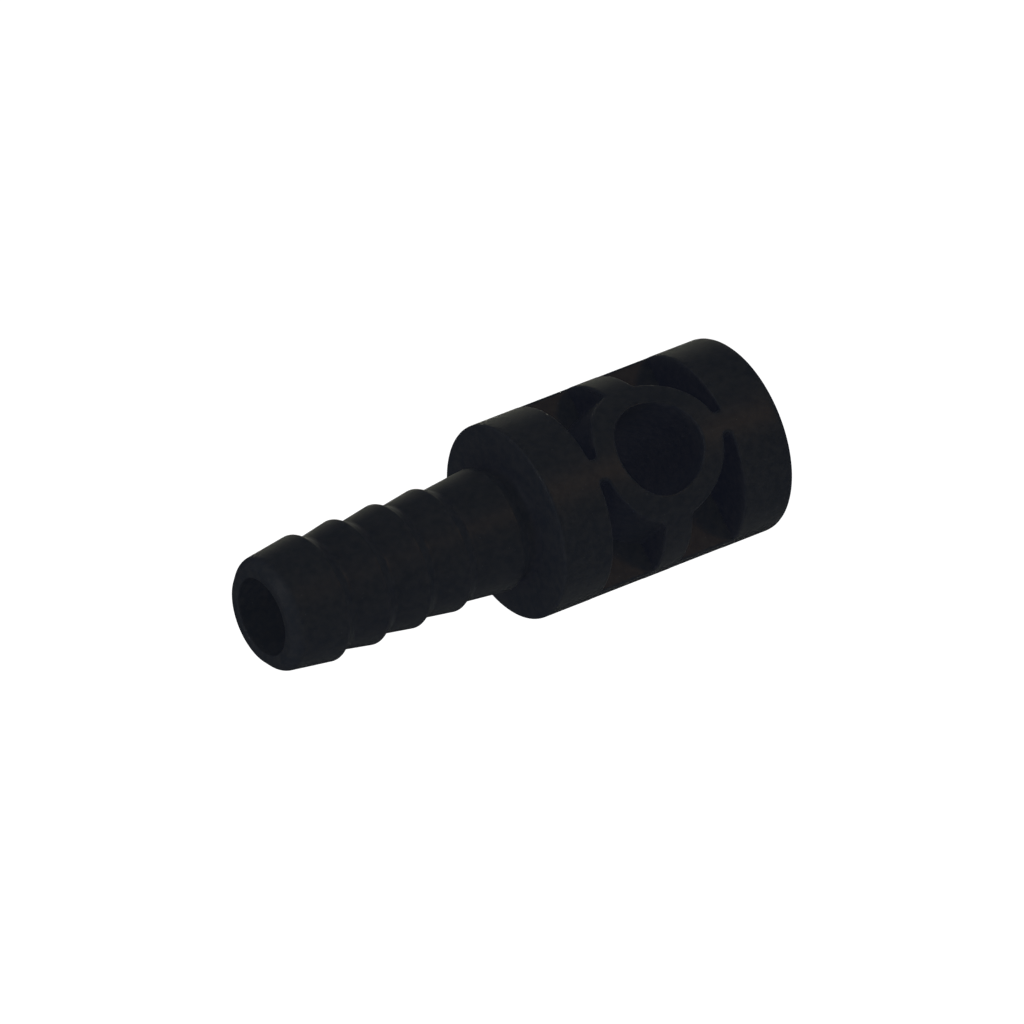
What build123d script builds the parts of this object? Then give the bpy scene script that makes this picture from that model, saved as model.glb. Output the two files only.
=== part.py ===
from build123d import *
import math
import os

# A hose connector moulded in one piece: a round body with a cross bore, and a hosetail on one end.
# Millimetres. Z runs along the axis, from the flat end up to the tip of the hosetail. The origin is
# the middle of the flat end, and the cross bore lies along Y.

# Round body
body_diameter = 22.0
flat_section_length = 6.6
shoulder_section_length = 6.4
flat_edge_radius = 0.8
shoulder_edge_chamfer = 0.25

# Cross bore, and the ring boss around it
cross_bore_diameter = 10.4
ring_wall = 2.55
ring_gap = 0.95

# Pockets around the ring, cut from both sides down to a web in the middle of the body
web_thickness = 2.4
cross_rib_width = 3.6
bridge_width = 2.5
pocket_corner_radius = 0.45

# Hosetail: equal barbs behind the tip, then a longer collar cone and a plain neck
barb_count = 4
barb_pitch = 5.33
barb_back_length = 1.25
tip_to_first_ridge = 6.5
tip_ridge_diameter = 14.3
root_ridge_diameter = 13.9
valley_diameter = 12.7
collar_length = 7.0
neck_length = 2.5
neck_diameter = 12.4
ridge_chamfer = 0.25

# Bore of the hosetail, which opens into the cross bore
hose_bore_diameter = 8.7
channel_wall = 1.9
bore_edge_chamfer = 0.25

# Nose of the hosetail: a flat ring around the bore, then a rounded step out to the first cone
nose_land = 1.05
nose_step = 1.0
nose_length = 1.0
nose_radius = 1.2

# How far a cutting tool runs past the surface that it cuts
tool_overrun = 1.0

# Heights along the axis, and radii
body_radius = body_diameter / 2
ring_diameter = cross_bore_diameter + 2 * ring_wall
pocket_zone_length = ring_diameter + 2 * ring_gap
cross_bore_height = flat_section_length + pocket_zone_length / 2
body_length = flat_section_length + pocket_zone_length + shoulder_section_length
collar_ridge_height = body_length + neck_length
last_ridge_height = collar_ridge_height + collar_length
first_ridge_height = last_ridge_height + (barb_count - 1) * barb_pitch
tip_height = first_ridge_height + tip_to_first_ridge
nose_face_diameter = hose_bore_diameter + 2 * nose_land
nose_diameter = nose_face_diameter + 2 * nose_step

match_tolerance = 1e-4


def ridge_points():
    """Crest and foot of each ridge, from the tip down, as (radius, height) pairs."""
    pairs = []
    for barb in range(barb_count):
        share = barb / max(barb_count - 1, 1)
        ridge_diameter = tip_ridge_diameter + (root_ridge_diameter - tip_ridge_diameter) * share
        height = first_ridge_height - barb * barb_pitch
        crest = (ridge_diameter / 2, height)
        foot = (valley_diameter / 2, height - barb_back_length)
        pairs.append((crest, foot))
    collar_crest = (root_ridge_diameter / 2, collar_ridge_height)
    collar_foot = (neck_diameter / 2, collar_ridge_height - barb_back_length)
    pairs.append((collar_crest, collar_foot))
    return pairs


def corners_at(section, points):
    """The section's corners that lie at the given (radius, height) points."""
    return [section.vertices().sort_by_distance(Vector(*point))[0] for point in points]


def turned_blank():
    """The body and the hosetail turned about the axis, with no bores or pockets."""
    ridges = ridge_points()
    nose_corner = (nose_diameter / 2, tip_height - nose_length)
    shoulder_corner = (body_radius, body_length)
    flat_corner = (body_radius, 0)
    outline = [(0, tip_height), (nose_face_diameter / 2, tip_height), nose_corner]
    for crest, foot in ridges:
        outline += [crest, foot]
    outline += [(neck_diameter / 2, body_length), shoulder_corner, flat_corner, (0, 0)]
    section = make_face(Polyline(*outline, close=True))
    section = chamfer(corners_at(section, [crest for crest, foot in ridges]), ridge_chamfer)
    section = fillet(corners_at(section, [nose_corner]), nose_radius)
    section = chamfer(corners_at(section, [shoulder_corner]), shoulder_edge_chamfer)
    section = fillet(corners_at(section, [flat_corner]), flat_edge_radius)
    return revolve(Plane.XZ * section, Axis.Z)


def pockets():
    """The four pockets on the front, which stop at the web, and their mirror image on the back."""
    tool_width = body_diameter + 2 * tool_overrun
    outline = Rectangle(tool_width, pocket_zone_length) - Circle(ring_diameter / 2)
    outline -= Rectangle(tool_width, cross_rib_width)
    outline -= Rectangle(bridge_width, pocket_zone_length)
    inner_corners = [corner for corner in outline.vertices() if abs(corner.X) < body_radius]
    outline = fillet(inner_corners, pocket_corner_radius)
    web_front = Plane(
        origin=(0, -web_thickness / 2, cross_bore_height), x_dir=(1, 0, 0), z_dir=(0, -1, 0)
    )
    front = extrude(web_front * outline, body_radius + tool_overrun)
    return front + mirror(front, Plane.XZ)


def channel():
    """The tube that carries the hosetail's bore through the pockets to the cross bore."""
    return Pos(0, 0, cross_bore_height) * Cylinder(
        hose_bore_diameter / 2 + channel_wall,
        pocket_zone_length / 2,
        align=(Align.CENTER, Align.CENTER, Align.MIN),
    )


def bores():
    """The cross bore, and the hosetail's bore from the cross bore up through the tip."""
    middle = Pos(0, 0, cross_bore_height)
    cross_bore = middle * Rot(90, 0, 0) * Cylinder(cross_bore_diameter / 2, body_diameter + 2 * tool_overrun)
    hose_bore = middle * Cylinder(
        hose_bore_diameter / 2,
        tip_height + tool_overrun - cross_bore_height,
        align=(Align.CENTER, Align.CENTER, Align.MIN),
    )
    return cross_bore + hose_bore


def bore_rims(connector):
    """The edges where the cross bore meets the body's surface, and the bore's edge at the tip."""
    rims = []
    for edge in connector.edges():
        points = [edge @ share for share in (0.1, 0.4, 0.7)]
        on_surface = all(
            abs(math.hypot(point.X, point.Y) - body_radius) < match_tolerance for point in points
        )
        on_cross_bore = all(
            abs(math.hypot(point.X, point.Z - cross_bore_height) - cross_bore_diameter / 2) < match_tolerance
            for point in points
        )
        at_tip = all(
            abs(point.Z - tip_height) < match_tolerance
            and abs(math.hypot(point.X, point.Y) - hose_bore_diameter / 2) < match_tolerance
            for point in points
        )
        if (on_surface and on_cross_bore) or at_tip:
            rims.append(edge)
    return rims


def hose_connector():
    """The whole moulding."""
    connector = turned_blank() - pockets() + channel() - bores()
    return chamfer(bore_rims(connector), bore_edge_chamfer)


os.makedirs("parts", exist_ok=True)
export_step(hose_connector(), "parts/hose_connector.step")
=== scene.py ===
import math

import bmesh
import bpy
from mathutils import Matrix, Vector
from mathutils.geometry import delaunay_2d_cdt


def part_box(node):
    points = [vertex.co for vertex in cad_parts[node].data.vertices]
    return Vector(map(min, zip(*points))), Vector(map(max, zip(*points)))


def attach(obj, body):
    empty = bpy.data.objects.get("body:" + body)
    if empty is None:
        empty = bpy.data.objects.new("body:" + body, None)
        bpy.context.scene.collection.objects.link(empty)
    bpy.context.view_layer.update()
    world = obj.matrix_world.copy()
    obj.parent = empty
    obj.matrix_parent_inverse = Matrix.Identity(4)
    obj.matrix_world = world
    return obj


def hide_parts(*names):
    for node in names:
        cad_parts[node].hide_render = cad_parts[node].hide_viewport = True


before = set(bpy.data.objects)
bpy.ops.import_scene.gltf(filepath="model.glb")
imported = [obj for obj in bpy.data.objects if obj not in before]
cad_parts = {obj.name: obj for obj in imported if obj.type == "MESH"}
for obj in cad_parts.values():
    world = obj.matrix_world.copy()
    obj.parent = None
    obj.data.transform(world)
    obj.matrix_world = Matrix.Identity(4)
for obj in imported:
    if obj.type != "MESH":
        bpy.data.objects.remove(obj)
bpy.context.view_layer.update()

mm = 0.001
scene = bpy.context.scene
scene.view_settings.view_transform = "Standard"


class Value:
    # A node's socket that Python's arithmetic works on. Each step adds a Math node.
    def __init__(self, graph, socket):
        self.graph, self.socket = graph, socket

    def math(self, operation, *others):
        return self.graph.add("ShaderNodeMath", {"operation": operation}, [self, *others])

    def __add__(self, other):
        return self.math("ADD", other)

    __radd__ = __add__

    def __mul__(self, other):
        return self.math("MULTIPLY", other)

    __rmul__ = __mul__

    def __sub__(self, other):
        return self.math("SUBTRACT", other)

    def __rsub__(self, other):
        return self.graph.add("ShaderNodeMath", {"operation": "SUBTRACT"}, [other, self])

    def __truediv__(self, other):
        return self.math("DIVIDE", other)

    def __neg__(self):
        return self * -1


class Graph:
    # A node tree, and the one method that adds nodes to it
    def __init__(self, tree):
        self.tree = tree

    def add(self, kind, settings=None, inputs=(), output=0):
        node = self.tree.nodes.new(kind)
        for name, setting in (settings or {}).items():
            setattr(node, name, setting)
        for key, value in inputs.items() if isinstance(inputs, dict) else enumerate(inputs):
            if isinstance(value, Value):
                self.tree.links.new(value.socket, node.inputs[key])
            elif value is not None:
                node.inputs[key].default_value = value
        return Value(self, node.outputs[output]) if node.outputs else node


# Camera, as fitted to the outline in the photo

view = {
    "turn": 8.74,  # degrees that the cross bore turns away from the camera
    "tilt": 29.38,  # degrees that the camera looks down
    "roll": -111.21,
    "distance": 2213 * mm,
    "aim": Vector((1.035, 1.601, 28.196)) * mm,  # the point in the middle of the picture
    "sensor": 36.0,
    "pixels": 1024,
    "pixelsPerMetre": 9331,  # at the aim's distance
    "near": 0.05,
    "far": 50,
}


def makeCamera():
    turn, tilt = math.radians(view["turn"]), math.radians(view["tilt"])
    back = Vector((-math.sin(turn) * math.cos(tilt), -math.cos(turn) * math.cos(tilt), math.sin(tilt)))
    data = bpy.data.cameras.new("camera")
    data.sensor_width = view["sensor"]
    seenWidth = view["pixels"] / view["pixelsPerMetre"]
    data.lens = view["sensor"] * view["distance"] / seenWidth
    data.clip_start = view["near"]
    data.clip_end = view["far"]
    camera = bpy.data.objects.new("camera", data)
    scene.collection.objects.link(camera)
    upright = (-back).to_track_quat("-Z", "Y").to_matrix().to_4x4()
    camera.matrix_world = (
        Matrix.Translation(view["aim"] + back * view["distance"])
        @ upright
        @ Matrix.Rotation(math.radians(view["roll"]), 4, "Z")
    )
    scene.camera = camera
    print("camera made")


makeCamera()

# Sizes of the moulding, in millimetres

low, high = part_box("hose_connector")
body = {
    "radius": (high.y - low.y) / 2 / mm,
    "flatSection": 6.6,
    "shoulderSection": 6.4,
    "flatEdge": 0.8,
    "shoulderEdge": 0.3,
    "crossBore": 5.2,
    "ringWall": 2.55,
    "ringGap": 0.95,
    "halfWeb": 1.2,
    "halfRib": 1.8,
    "halfBridge": 1.25,
    "pocketCorner": 0.45,
    "hoseBore": 4.35,
    "channelWall": 1.9,
    "rimRounding": 0.25,
    "rimSteps": 4,
    "seam": 0.6,  # from an end's corner to where its turned surface meets the rest
    "sharpAngle": 35,  # degrees past which an edge stays sharp
}

ring = body["crossBore"] + body["ringWall"]
pocketEnd = ring + body["ringGap"]
middle = body["flatSection"] + pocketEnd
bodyLength = middle + pocketEnd + body["shoulderSection"]
channel = body["hoseBore"] + body["channelWall"]

tail = {
    "tip": high.z / mm,
    "barbs": 4,
    "pitch": 5.33,
    "back": 1.25,
    "firstRidge": 6.5,  # behind the tip
    "tipRidge": 7.15,
    "rootRidge": 6.95,
    "valley": 6.35,
    "neckLength": 2.5,
    "neck": 6.2,
    "ridgeRounding": 0.45,
    "footRounding": 0.9,
    "noseFace": 5.4,
    "nose": 6.4,
    "noseLength": 1.0,
    "noseRounding": 1.2,
    "boreRounding": 0.25,
    "cornerSteps": 5,
    "merge": 0.001,
}

# How finely the body is divided into faces

mesh = {
    "segments": 144,  # around the axis
    "spacing": 0.45,  # between the points of a rim
    "margin": 0.42,  # width of the strip of faces beside a rim
    "grid": 0.6,  # between the points inside the skin
    "boreGrid": 0.8,  # between the points inside the cross bore
    "clearance": 0.7,  # of a grid's step, between its points and the rims
    "cornerSteps": 7,  # around a pocket's rounded corner
    "ringSteps": 6,  # along the ring, from the rib to the channel's tube
    "tubeStart": 2.2,  # from the axis to the first column of faces on the tube
    "tubeColumns": 9,
    "boreSteps": 36,  # around half the cross bore
    "boreStrip": 1.25,  # hose bore radii from the axis to the strip of faces inside the cross bore's rim
    "boreFarSteps": 20,  # in the plane through the axis, from the hose bore's mouth to the far side
    "boreSideSteps": 8,  # from that plane out to the strip
    "decimals": 5,  # points that agree to so many are one
    "merge": 1e-4,
    "joinMerge": 2e-4,
    "tolerance": 1e-9,
}

# Turned ends: a Geometry Nodes tree rounds a profile, adds the barbs to it and turns it about the axis

turnedInputs = {
    "Segments": "NodeSocketInt",
    "Corner Steps": "NodeSocketInt",
    "Barbs": "NodeSocketInt",
    "First Ridge": "NodeSocketFloat",
    "Pitch": "NodeSocketFloat",
    "Back": "NodeSocketFloat",
    "Tip Ridge": "NodeSocketFloat",
    "Root Ridge": "NodeSocketFloat",
    "Valley": "NodeSocketFloat",
    "Ridge Rounding": "NodeSocketFloat",
    "Foot Rounding": "NodeSocketFloat",
    "Merge": "NodeSocketFloat",
    "Material": "NodeSocketMaterial",
}


def turnedTree():
    tree = bpy.data.node_groups.new("turned end", "GeometryNodeTree")
    tree.interface.new_socket(name="Geometry", in_out="INPUT", socket_type="NodeSocketGeometry")
    for name, kind in turnedInputs.items():
        tree.interface.new_socket(name=name, in_out="INPUT", socket_type=kind)
    tree.interface.new_socket(name="Geometry", in_out="OUTPUT", socket_type="NodeSocketGeometry")
    graph = Graph(tree)
    source = tree.nodes.new("NodeGroupInput")
    given = {name: Value(graph, source.outputs[name]) for name in ["Geometry", *turnedInputs]}

    # Two points for each barb: its ridge and the foot behind it
    line = graph.add("GeometryNodeMeshLine", None, {"Count": given["Barbs"] * 2})
    index = graph.add("GeometryNodeInputIndex")
    barb = (index / 2).math("FLOOR")
    foot = index - barb * 2
    ridge = given["Tip Ridge"] + (given["Root Ridge"] - given["Tip Ridge"]) * barb / (
        (given["Barbs"] - 1).math("MAXIMUM", 1)
    )
    radius = ridge + (given["Valley"] - ridge) * foot
    height = given["First Ridge"] - barb * given["Pitch"] - foot * given["Back"]
    place = graph.add("ShaderNodeCombineXYZ", None, {"X": radius, "Z": height})
    points = graph.add("GeometryNodeMeshToPoints", None, {"Mesh": line, "Position": place})
    height = graph.add("ShaderNodeSeparateXYZ", None, [graph.add("GeometryNodeInputPosition")], "Z")
    rounding = given["Ridge Rounding"] + (given["Foot Rounding"] - given["Ridge Rounding"]) * (
        index.math("FLOORED_MODULO", 2)
    )
    for name, value in (("rounding", rounding), ("order", -height)):
        points = graph.add(
            "GeometryNodeStoreNamedAttribute",
            {"data_type": "FLOAT", "domain": "POINT"},
            {"Geometry": points, "Name": name, "Value": value},
        )

    # The plain corners join them, in order along the profile
    corners = graph.add("GeometryNodeMeshToPoints", None, {"Mesh": given["Geometry"]})
    joined = graph.add("GeometryNodeJoinGeometry")
    for part in (corners, points):
        tree.links.new(part.socket, joined.socket.node.inputs["Geometry"])
    order, rounding = (
        graph.add("GeometryNodeInputNamedAttribute", {"data_type": "FLOAT"}, {"Name": name})
        for name in ("order", "rounding")
    )
    profile = graph.add("GeometryNodePointsToCurves", None, {"Points": joined, "Weight": order})
    profile = graph.add(
        "GeometryNodeFilletCurve",
        {"mode": "POLY"},
        {"Curve": profile, "Count": given["Corner Steps"], "Limit Radius": True, "Radius": rounding},
    )
    profile = graph.add("GeometryNodeCurveToMesh", None, {"Curve": profile})

    # A grid takes the profile's points along one side and the turn about the axis along the other
    rows = graph.add("GeometryNodeAttributeDomainSize", {"component": "MESH"}, [profile], "Point Count")
    columns = given["Segments"] + 1
    grid = graph.add("GeometryNodeMeshGrid", None, {"Vertices X": rows, "Vertices Y": columns})
    row = (index / columns).math("FLOOR")
    angle = (index - row * columns) * math.tau / given["Segments"]
    outline = graph.add(
        "GeometryNodeSampleIndex",
        {"data_type": "FLOAT_VECTOR", "domain": "POINT"},
        {"Geometry": profile, "Value": graph.add("GeometryNodeInputPosition"), "Index": row},
    )
    turned = graph.add(
        "ShaderNodeVectorRotate", {"rotation_type": "Z_AXIS"}, {"Vector": outline, "Angle": angle}
    )
    surface = graph.add("GeometryNodeSetPosition", None, {"Geometry": grid, "Position": turned})
    surface = graph.add(
        "GeometryNodeMergeByDistance", None, {"Geometry": surface, "Distance": given["Merge"]}
    )
    surface = graph.add("GeometryNodeRealizeInstances", None, {"Geometry": surface})
    surface = graph.add(
        "GeometryNodeSetMaterial", None, {"Geometry": surface, "Material": given["Material"]}
    )
    graph.add("NodeGroupOutput", None, {"Geometry": surface})
    return tree


def turnedMesh(name, tree, cornersBefore, cornersAfter, settings):
    # Each corner is (radius, height, rounding). A barb's order is minus its height, so the corners
    # before the barbs go under minus the tip's height, and those after them from 0 up.
    corners = cornersBefore + cornersAfter
    roundings = [rounding for _, _, rounding in corners]
    orders = [(index - len(cornersBefore)) * tail["tip"] for index in range(len(corners))]
    points = bpy.data.meshes.new(name)
    points.from_pydata([(radius, 0, height) for radius, height, _ in corners], [], [])
    for attribute, values in (("rounding", roundings), ("order", orders)):
        points.attributes.new(attribute, "FLOAT", "POINT").data.foreach_set("value", values)
    carrier = bpy.data.objects.new(name, points)
    scene.collection.objects.link(carrier)
    modifier = carrier.modifiers.new("turned end", "NODES")
    modifier.node_group = tree
    inputs = [item for item in tree.interface.items_tree if item.in_out == "INPUT"]
    sockets = {item.name: item.identifier for item in inputs}
    for key, value in settings.items():
        modifier[sockets[key]] = value
    evaluated = carrier.evaluated_get(bpy.context.evaluated_depsgraph_get())
    result = bpy.data.meshes.new_from_object(evaluated)
    bpy.data.objects.remove(carrier)
    return result


def makeTurnedEnds(material):
    tree = turnedTree()
    tip, edge = tail["tip"], body["radius"]
    collar = bodyLength + tail["neckLength"]
    neckFoot = collar - tail["back"]
    shoulder = bodyLength
    bore = body["hoseBore"]
    nose = [
        (bore, tip - body["seam"], 0),
        (bore, tip, tail["boreRounding"]),
        (tail["noseFace"], tip, tail["boreRounding"]),
        (tail["nose"], tip - tail["noseLength"], tail["noseRounding"]),
    ]
    root = [
        (tail["rootRidge"], collar, tail["ridgeRounding"]),
        (tail["neck"], neckFoot, tail["footRounding"]),
        (tail["neck"], shoulder, tail["footRounding"]),
        (edge, shoulder, body["shoulderEdge"]),
        (edge, shoulder - body["seam"], 0),
    ]
    flatEnd = [
        (edge, body["flatEdge"] + body["seam"], 0),
        (edge, 0, body["flatEdge"]),
        (0, 0, 0),
    ]
    common = {
        "Segments": mesh["segments"],
        "Corner Steps": tail["cornerSteps"],
        "Merge": tail["merge"],
        "Material": material,
    }
    barbs = {
        "Barbs": tail["barbs"],
        "First Ridge": tip - tail["firstRidge"],
        "Pitch": tail["pitch"],
        "Back": tail["back"],
        "Tip Ridge": tail["tipRidge"],
        "Root Ridge": tail["rootRidge"],
        "Valley": tail["valley"],
        "Ridge Rounding": tail["ridgeRounding"],
        "Foot Rounding": tail["footRounding"],
    }
    tailMesh = turnedMesh("turned tail", tree, nose, root, common | barbs)
    flatMesh = turnedMesh("turned flat end", tree, [], flatEnd, common | {"Barbs": 0})
    print("turned ends made:", len(tailMesh.polygons), "and", len(flatMesh.polygons), "faces")
    return tailMesh, flatMesh


# Body between the ends: a quarter with its pockets and bores is built, then mirrored twice


def onSkin(x):
    return -math.sqrt(body["radius"] ** 2 - x**2)


def unrolled(x):
    return body["radius"] * math.asin(x / body["radius"])


def rolled(point):
    angle = point[0] / body["radius"]
    return (body["radius"] * math.sin(angle), -body["radius"] * math.cos(angle), point[1])


def steps(start, end, count):
    return [start + (end - start) * i / count for i in range(count + 1)]


def ringHeight(x):
    return math.sqrt(ring**2 - x**2)


def arc(centre, radius, start, end, count=mesh["cornerSteps"]):
    # Points on an arc about (x, height), angles in degrees from the X axis
    angles = [math.radians(angle) for angle in steps(start, end, count)]
    return [(centre[0] + radius * math.cos(a), centre[1] + radius * math.sin(a)) for a in angles]


def between(start, end):
    # Points inside a straight wall's rim, evenly spaced on the skin
    across = unrolled(end[0]) - unrolled(start[0])
    count = max(1, round(math.hypot(across, end[1] - start[1]) / mesh["spacing"]))
    places = steps(unrolled(start[0]), unrolled(end[0]), count)
    heights = steps(start[1], end[1], count)
    inner = list(zip(places, heights))[1:-1]
    return [(body["radius"] * math.sin(place / body["radius"]), height) for place, height in inner]


def columnPlaces():
    # Where the columns of faces on the channel's tube stand, up to its crease with the web
    first = math.asin(mesh["tubeStart"] / channel)
    last = math.acos(body["halfWeb"] / channel)
    return [channel * math.sin(angle) for angle in steps(first, last, mesh["tubeColumns"])]


def pocketOutline():
    # Points of a pocket's outline as (x, height above the cross bore, reaches the floor), and the
    # points of the web's open edge
    corner, rib, bridge = body["pocketCorner"], body["halfRib"], body["halfBridge"]
    webEdge = math.sqrt(body["radius"] ** 2 - body["halfWeb"] ** 2)
    outer = ring + corner
    ribCorner = (math.sqrt(outer**2 - (rib + corner) ** 2), rib + corner)
    bridgeCorner = (bridge + corner, math.sqrt(outer**2 - (bridge + corner) ** 2))
    endCorner = (bridge + corner, pocketEnd - corner)
    ribAngle = math.degrees(math.atan2(ribCorner[1], ribCorner[0]))
    bridgeAngle = math.degrees(math.atan2(bridgeCorner[1], bridgeCorner[0]))
    columns = columnPlaces()
    crease = math.degrees(math.acos(columns[-1] / ring))
    onRing = arc((0, 0), ring, ribAngle, crease, mesh["ringSteps"])[1:-1]
    onRing += [(x, ringHeight(x)) for x in reversed(columns)]
    curved = arc(ribCorner, corner, 270, 180 + ribAngle) + onRing
    curved += arc(bridgeCorner, corner, 180 + bridgeAngle, 180) + arc(endCorner, corner, 180, 90)
    ribEnd, wallEnd = (webEdge, rib), (webEdge, pocketEnd)
    outline = [(*ribEnd, True)]
    outline += [(*point, False) for point in between(ribEnd, curved[0])]
    outline += [(*point, True) for point in curved]
    outline += [(*point, False) for point in between(curved[-1], wallEnd)]
    outline.append((*wallEnd, True))
    return outline, between(wallEnd, ribEnd)


def widened(loop, width, closed=True):
    # The loop moved to its left by the width, with mitred corners
    moved = []
    for i, point in enumerate(loop):
        before = loop[i - 1] if closed or i else None
        after = loop[(i + 1) % len(loop)] if closed or i + 1 < len(loop) else None
        normals = []
        for a, b in ((before, point), (point, after)):
            if a is not None and b is not None:
                along = (Vector(b) - Vector(a)).normalized()
                normals.append(Vector((-along.y, along.x)))
        normal = normals[0] + normals[-1]
        scale = width / (1 + normals[0].dot(normals[-1]))
        moved.append(tuple(Vector(point) + normal * scale))
    return moved


def inside(loop, point):
    crossed = False
    for (x1, y1), (x2, y2) in zip(loop, loop[1:] + loop[:1]):
        if (y1 > point[1]) != (y2 > point[1]):
            if point[0] < x1 + (x2 - x1) * (point[1] - y1) / (y2 - y1):
                crossed = not crossed
    return crossed


def innerPoints(outer, holes, step):
    # Grid points inside the region that keep clear of its outlines
    edge = [point for loop in [outer, *holes] for point in loop]
    left, right = min(p[0] for p in outer), max(p[0] for p in outer)
    bottom, top = min(p[1] for p in outer), max(p[1] for p in outer)
    found = []
    for x in steps(left, right, round((right - left) / step))[1:-1]:
        for y in steps(bottom, top, round((top - bottom) / step))[1:-1]:
            if inside(outer, (x, y)) and not any(inside(hole, (x, y)) for hole in holes):
                if min((x - a) ** 2 + (y - b) ** 2 for a, b in edge) > (mesh["clearance"] * step) ** 2:
                    found.append((x, y))
    return found


class Quarter:
    # Collects the faces of the quarter with x over 0 and y under 0
    def __init__(self):
        self.build = bmesh.new()
        self.weight = self.build.edges.layers.float.new("bevel_weight_edge")
        self.known = {}

    def vertex(self, point):
        key = tuple(round(number, mesh["decimals"]) for number in point)
        if key not in self.known:
            self.known[key] = self.build.verts.new(point)
        return self.known[key]

    def face(self, points):
        corners = []
        for point in points:
            vertex = self.vertex(point)
            if vertex not in corners:
                corners.append(vertex)
        if len(corners) > 2:
            self.build.faces.new(corners)

    def strip(self, first, second):
        for a, b, c, d in zip(first, first[1:], second[1:], second):
            self.face([a, b, c, d])

    def roundEdges(self, points):
        for a, b in zip(points, points[1:]):
            edge = self.build.edges.get((self.vertex(a), self.vertex(b)))
            edge[self.weight] = 1

    def fill(self, outer, holes, step, place):
        # Triangles over a flat region with holes, each corner put in space by place()
        points, edges = [], []
        for loop in [outer, *holes]:
            first, count = len(points), len(loop)
            points += loop
            edges += [(first + i, first + (i + 1) % count) for i in range(count)]
        points += innerPoints(outer, holes, step)
        given = [Vector(point) for point in points]
        flat, _, faces, *_ = delaunay_2d_cdt(given, edges, [], 0, mesh["tolerance"])
        for face in faces:
            centre = sum((flat[i] for i in face), Vector((0, 0))) / 3
            if inside(outer, centre) and not any(inside(hole, centre) for hole in holes):
                self.face([place(flat[i]) for i in face])


def floorDepth(x, tube):
    return -max(body["halfWeb"], math.sqrt(max(0, tube**2 - x**2)))


def addPocket(quarter, side, tube):
    # side is 1 above the cross bore and -1 below it. tube is the radius of the tube that lies on the
    # pocket's floor, or 0.
    outline, webEdge = pocketOutline()
    columns = columnPlaces()

    def rim(x, height, *_):
        return (x, onSkin(x), middle + side * height)

    def floor(x, height, *_):
        return (x, floorDepth(x, tube), middle + side * height)

    marks = [i for i, station in enumerate(outline) if station[2]]
    for start, end in zip(marks, marks[1:]):
        upper = [rim(*station) for station in outline[start : end + 1]]
        lower = [outline[start], outline[end]]
        if end == len(outline) - 1:  # the end wall stands on the tube and on the web
            lower[1:1] = [(x, pocketEnd) for x in columns]
        quarter.face(upper + [floor(*station) for station in reversed(lower)])

    # The floor has a cap at the narrow end, a column of faces over the tube, and the open web
    reaching = [station for station in outline if station[2]]
    crease = (columns[-1], ringHeight(columns[-1]))
    creaseIndex = min(range(len(reaching)), key=lambda i: math.dist(reaching[i][:2], crease))
    capIndex = creaseIndex + len(columns) - 1
    cap = reaching[capIndex:-1] + [(columns[0], pocketEnd)]
    quarter.face([floor(*station) for station in cap])
    onRing = [floor(x, ringHeight(x)) for x in columns]
    quarter.strip(onRing, [floor(x, pocketEnd) for x in columns])
    web = [(columns[-1], pocketEnd), reaching[-1], *webEdge, *reaching[: creaseIndex + 1]]
    quarter.face([floor(*station) for station in web])

    loop = [(unrolled(x), middle + side * height) for x, height, *_ in [*outline, *webEdge]]
    wide = widened(loop, mesh["margin"] * side)
    closedLoop, closedWide = [*loop, loop[0]], [*wide, wide[0]]
    quarter.strip([rolled(p) for p in closedLoop], [rolled(p) for p in closedWide])
    quarter.roundEdges([rolled(p) for p in closedLoop])
    return wide


def addCrossBore(quarter):
    # From the rim on the skin to the middle plane, with the hose bore's mouth in its upper side
    radius, mouth = body["crossBore"], body["hoseBore"]
    angles = [math.radians(angle) for angle in steps(0, 180, mesh["boreSteps"])]
    inward = -mesh["boreStrip"] * mouth

    def onBore(point):
        angle = point[0] / radius
        return (radius * math.sin(angle), point[1], middle + radius * math.cos(angle))

    rim = [(radius * a, onSkin(radius * math.sin(a))) for a in angles]
    row = [(radius * a, inward) for a in angles]
    quarter.strip([onBore(p) for p in rim], [onBore(p) for p in row])
    turns = [math.radians(angle) for angle in steps(0, 90, mesh["segments"] // 4)]
    saddle = [(radius * math.asin(mouth * math.sin(t) / radius), -mouth * math.cos(t)) for t in turns]
    farPlaces = steps(saddle[-1][0], radius * math.pi, mesh["boreFarSteps"])
    farEdge = [(place, 0) for place in farPlaces[1:]]
    side = [(radius * math.pi, depth) for depth in steps(0, inward, mesh["boreSideSteps"])[1:-1]]
    quarter.fill([*saddle, *farEdge, *side, *reversed(row)], [], mesh["boreGrid"], onBore)
    top = tail["tip"] - body["seam"]
    mouthRing = [(mouth * math.sin(t), -mouth * math.cos(t), top) for t in turns]
    quarter.strip([onBore(p) for p in saddle], mouthRing)

    loop = [(unrolled(radius * math.sin(a)), middle + radius * math.cos(a)) for a in angles]
    loop[0], loop[-1] = (0, loop[0][1]), (0, loop[-1][1])
    wide = widened(loop, mesh["margin"], closed=False)
    wide[0], wide[-1] = (0, wide[0][1]), (0, wide[-1][1])
    quarter.strip([rolled(p) for p in loop], [rolled(p) for p in wide])
    quarter.roundEdges([rolled(p) for p in loop])
    return wide


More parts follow.
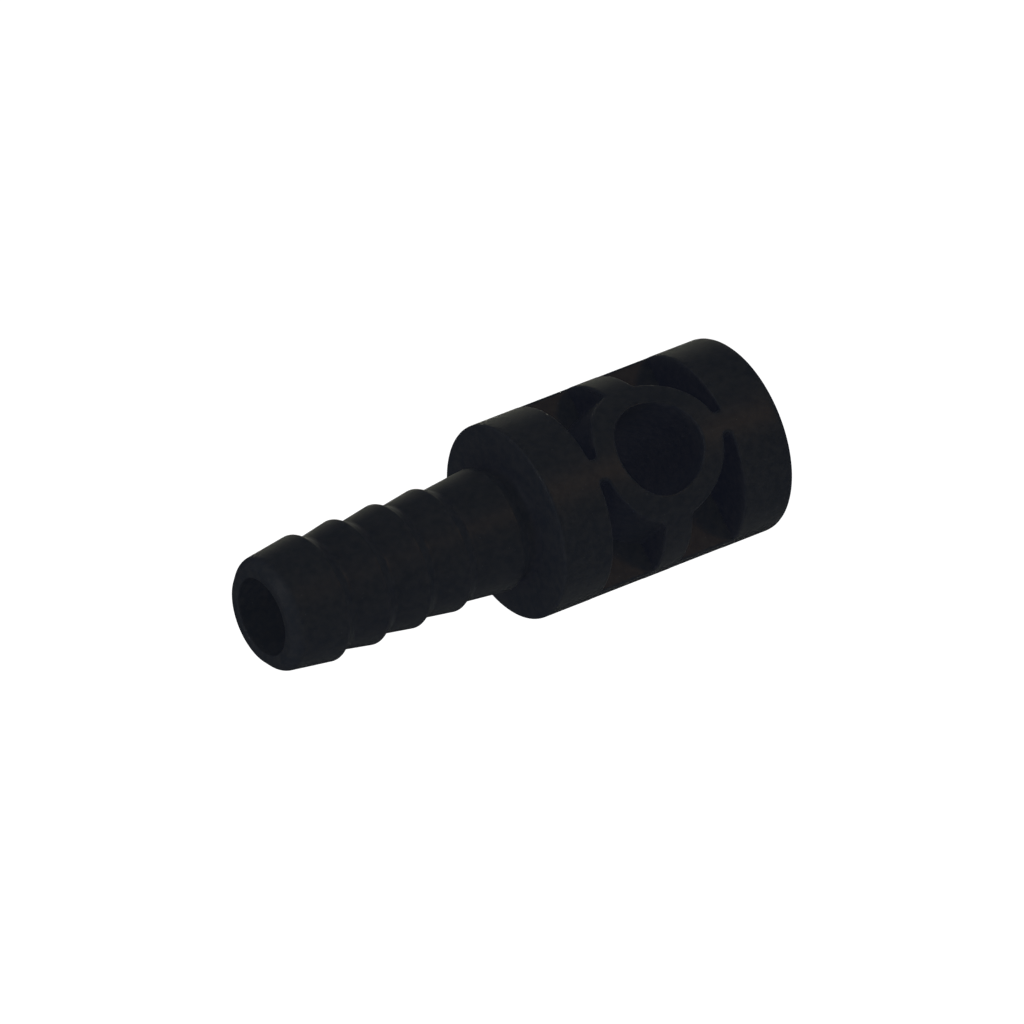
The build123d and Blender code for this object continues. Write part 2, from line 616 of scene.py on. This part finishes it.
def addSkin(quarter, boreLoop, pocketLoops):
    bottom = body["flatEdge"] + body["seam"]
    top = bodyLength - body["seam"]
    right = body["radius"] * math.pi / 2
    count = mesh["segments"] // 4
    rise = round((top - bottom) / mesh["spacing"])
    upperGap = round((top - boreLoop[0][1]) / mesh["spacing"])
    lowerGap = round((boreLoop[-1][1] - bottom) / mesh["spacing"])
    outer = [(place, bottom) for place in steps(0, right, count)]
    outer += [(right, height) for height in steps(bottom, top, rise)[1:]]
    outer += [(place, top) for place in steps(right, 0, count)[1:]]
    outer += [(0, height) for height in steps(top, boreLoop[0][1], upperGap)[1:-1]]
    outer += boreLoop
    outer += [(0, height) for height in steps(boreLoop[-1][1], bottom, lowerGap)[1:-1]]
    quarter.fill(outer, pocketLoops, mesh["grid"], rolled)


def mirrored(build, axis):
    copied = bmesh.ops.duplicate(build, geom=build.verts[:] + build.edges[:] + build.faces[:])["geom"]
    for item in copied:
        if isinstance(item, bmesh.types.BMVert):
            item.co[axis] *= -1
    bmesh.ops.remove_doubles(build, verts=build.verts, dist=mesh["merge"])


def makeBody():
    quarter = Quarter()
    loops = [addPocket(quarter, 1, channel), addPocket(quarter, -1, 0)]
    boreLoop = addCrossBore(quarter)
    addSkin(quarter, boreLoop, loops)
    for axis in (0, 1):
        mirrored(quarter.build, axis)
    print("body made:", len(quarter.build.faces), "faces")
    return quarter.build


def makeConnector(material):
    build = makeBody()
    for end in makeTurnedEnds(material):
        build.from_mesh(end)
        bpy.data.meshes.remove(end)
    bmesh.ops.remove_doubles(build, verts=build.verts, dist=mesh["joinMerge"])
    bmesh.ops.recalc_face_normals(build, faces=build.faces)
    for face in build.faces:
        face.smooth = True
    openEdges = sum(not edge.is_manifold for edge in build.edges)
    print("joined:", len(build.verts), "points, open edges:", openEdges, "volume", build.calc_volume())
    bmesh.ops.scale(build, vec=(mm, mm, mm), verts=build.verts)
    joined = bpy.data.meshes.new("connector")
    build.to_mesh(joined)
    build.free()
    joined.materials.clear()
    joined.materials.append(material)
    piece = bpy.data.objects.new("connector", joined)
    scene.collection.objects.link(piece)
    bevel = piece.modifiers.new("rounded rims", "BEVEL")
    bevel.width = body["rimRounding"] * mm
    bevel.segments = body["rimSteps"]
    bevel.limit_method = "WEIGHT"
    bevel.use_clamp_overlap = False
    finished = bpy.data.meshes.new_from_object(
        piece.evaluated_get(bpy.context.evaluated_depsgraph_get())
    )
    piece.modifiers.clear()
    piece.data = finished
    finished.set_sharp_from_angle(angle=math.radians(body["sharpAngle"]))
    weighted = piece.modifiers.new("even shading", "WEIGHTED_NORMAL")
    weighted.keep_sharp = True
    return piece


# Black moulded plastic

plastic = {
    "dark": (0.0082, 0.0097, 0.0128, 1),
    "light": (0.0120, 0.0128, 0.0149, 1),
    "fleck": (0.030, 0.032, 0.034, 1),
    "specular": 0.3,
    "roughness": 0.42,
    "cloudRoughness": 0.12,  # how far the clouds and the grain change it
    "grainRoughness": 0.06,
    "clouds": {"Scale": 170, "Detail": 4, "Roughness": 0.6},  # patches per metre
    "flowPerMetre": (500, 500, 90),  # streaks, long in the direction that the plastic flowed
    "flow": {"Scale": 1, "Detail": 3},
    "mottle": {"Scale": 1400, "Detail": 2},
    "grain": {"Scale": 3200, "Detail": 2, "Roughness": 0.55},
    "cloudShade": 0.8,  # how far each pattern goes from dark to light
    "flowShade": 0.5,
    "mottleShade": 2.8,
    "grainDepth": 0.012 * mm,
    "flowDepth": 0.4,  # of the grain's
    "flecksPerMetre": 900,
    "fleckSize": 0.045,  # of a fleck's cell
    "average": 0.5,  # of a noise
}


def plasticMaterial(name, look):
    material = bpy.data.materials.new(name)
    material.use_nodes = True
    material.node_tree.nodes.clear()
    graph = Graph(material.node_tree)
    place = graph.add("ShaderNodeTexCoord", output="Object")
    streaked = graph.add("ShaderNodeMapping", None, {"Vector": place, "Scale": look["flowPerMetre"]})

    def pattern(name, vector=place):
        return graph.add("ShaderNodeTexNoise", None, {"Vector": vector, **look[name]}) - look["average"]

    clouds, flow = pattern("clouds"), pattern("flow", streaked)
    mottle, grain = pattern("mottle"), pattern("grain")
    shade = clouds * look["cloudShade"] + flow * look["flowShade"] + mottle * look["mottleShade"]
    shade = (shade + look["average"]).math("MINIMUM", 1).math("MAXIMUM", 0)
    flecks = {"Vector": place, "Scale": look["flecksPerMetre"]}
    distance = graph.add("ShaderNodeTexVoronoi", None, flecks, "Distance")
    fleck = (look["fleckSize"] - distance).math("GREATER_THAN", 0)

    def mixed(share, first, second):
        colours = {"Factor": share, "A": first, "B": second}
        return graph.add("ShaderNodeMix", {"data_type": "RGBA"}, colours, "Result")

    colour = mixed(fleck, mixed(shade, look["dark"], look["light"]), look["fleck"])
    roughness = look["roughness"] + clouds * look["cloudRoughness"] + grain * look["grainRoughness"]
    height = grain + flow * look["flowDepth"]
    relief = {"Strength": 1.0, "Distance": look["grainDepth"], "Height": height}
    bump = graph.add("ShaderNodeBump", None, relief)
    surface = graph.add(
        "ShaderNodeBsdfPrincipled",
        None,
        {
            "Base Color": colour,
            "Roughness": roughness,
            "Specular IOR Level": look["specular"],
            "Normal": bump,
        },
    )
    graph.add("ShaderNodeOutputMaterial", None, {"Surface": surface})
    return material


connector = makeConnector(plasticMaterial("black moulded plastic", plastic))
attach(connector, "root")
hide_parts("hose_connector")
print("connector made")

# Floor and light

warm = (0.95, 0.97, 0.76)
white = (1, 1, 1, 1)
stage = {
    "size": 4.0,
    "drop": 0.02 * mm,  # keeps the floor clear of the flat end
    "floor": (0.5, 0.5, 0.5, 1),
    "whiteShare": 0.9,  # of the floor, as the camera sees it; the rest takes light and shadow
    "white": 1.15,  # just enough for that share to be white
    "whiteInGloss": 0.013,  # what the plastic's gloss shows of the white
    "world": 0.38,
    "distance": 0.8,  # from the lamps to the point that they aim at
    "aim": (0, 0, 0.025),
    # Each lamp's direction, level on a white surface that faces it, size and colour
    "key": ((0.00, 0.00, 1.00), 0.42, 0.35, warm),
    "fills": {  # these cast no shadow
        "left fill": ((-0.90, -0.40, 0.20), 0.59, 0.35, (0.82, 0.85, 1.00)),
        "right fill": ((0.90, -0.40, 0.20), 0.58, 0.35, (0.82, 0.85, 1.00)),
        "low fill": ((0.00, -0.30, -0.95), 0.50, 0.35, (0.92, 0.95, 1.00)),
        "top fill": ((0.00, 0.00, 1.00), 0.41, 0.35, (0.60, 0.62, 1.00)),
        "back fill": ((0.00, 1.00, 0.00), 0.60, 0.35, (0.82, 0.85, 1.00)),
    },
    "glints": {  # these show in the gloss only
        "low strip": ((0.026, -0.878, -0.460), 0.028, 0.12, (1.00, 0.57, 0.21)),
        "right sheet": ((0.56, 0.68, -0.56), 0.039, 0.60, (1.00, 1.00, 0.80)),
        "left sheet": ((-0.58, 0.66, -0.56), 0.013, 0.60, (0.95, 1.00, 0.90)),
        "window": ((0.347, -0.426, 0.835), 0.022, 0.20, (1.00, 1.00, 1.00)),
    },
}


def rays(graph, *kinds):
    return sum((graph.add("ShaderNodeLightPath", output=f"Is {kind} Ray") for kind in kinds), 0)


def makeFloor():
    build = bmesh.new()
    level = Matrix.Translation((0, 0, -stage["drop"]))
    bmesh.ops.create_grid(build, x_segments=1, y_segments=1, size=stage["size"] / 2, matrix=level)
    plane = bpy.data.meshes.new("floor")
    build.to_mesh(plane)
    build.free()
    floor = bpy.data.objects.new("floor", plane)
    scene.collection.objects.link(floor)
    floor.visible_shadow = False  # the low lamps shine from below its level
    material = bpy.data.materials.new("white floor")
    material.use_nodes = True
    material.node_tree.nodes.clear()
    graph = Graph(material.node_tree)
    camera, gloss = rays(graph, "Camera"), rays(graph, "Glossy", "Transmission")
    strength = camera * stage["white"] + gloss * stage["whiteInGloss"]
    diffuse = graph.add("ShaderNodeBsdfDiffuse", None, {"Color": stage["floor"]})
    glow = graph.add("ShaderNodeEmission", None, {"Color": white, "Strength": strength})
    mixed = graph.add("ShaderNodeMixShader", None, [camera * stage["whiteShare"] + gloss, diffuse, glow])
    graph.add("ShaderNodeOutputMaterial", None, {"Surface": mixed})
    plane.materials.append(material)


def makeLamp(name, direction, level, size, colour):
    data = bpy.data.lights.new(name, "AREA")
    data.shape = "DISK"
    data.size = size
    data.energy = level * (math.pi * stage["distance"]) ** 2  # so that white shows that level
    data.color = colour
    data.cycles.use_multiple_importance_sampling = False
    lamp = bpy.data.objects.new(name, data)
    scene.collection.objects.link(lamp)
    outward = Vector(direction).normalized()
    turned = (-outward).to_track_quat("-Z", "Y").to_matrix().to_4x4()
    lamp.matrix_world = Matrix.Translation(Vector(stage["aim"]) + outward * stage["distance"]) @ turned
    return lamp


def makeLamps():
    makeLamp("key", *stage["key"]).visible_glossy = False
    for name, lamp in stage["fills"].items():
        fill = makeLamp(name, *lamp)
        fill.visible_glossy = False
        fill.data.use_shadow = False
    for name, lamp in stage["glints"].items():
        makeLamp(name, *lamp).visible_diffuse = False


def makeWorld():
    world = bpy.data.worlds.new("studio")
    scene.world = world
    world.use_nodes = True
    world.node_tree.nodes.clear()
    graph = Graph(world.node_tree)
    camera, gloss = rays(graph, "Camera"), rays(graph, "Glossy", "Transmission")
    light = graph.add("ShaderNodeBackground", None, {"Color": (*warm, 1), "Strength": stage["world"]})
    strength = camera * stage["white"] + gloss * stage["whiteInGloss"]
    seen = graph.add("ShaderNodeBackground", None, {"Color": white, "Strength": strength})
    mixed = graph.add("ShaderNodeMixShader", None, [camera + gloss, light, seen])
    graph.add("ShaderNodeOutputWorld", None, {"Surface": mixed})


makeFloor()
makeWorld()
makeLamps()
print("stage made")
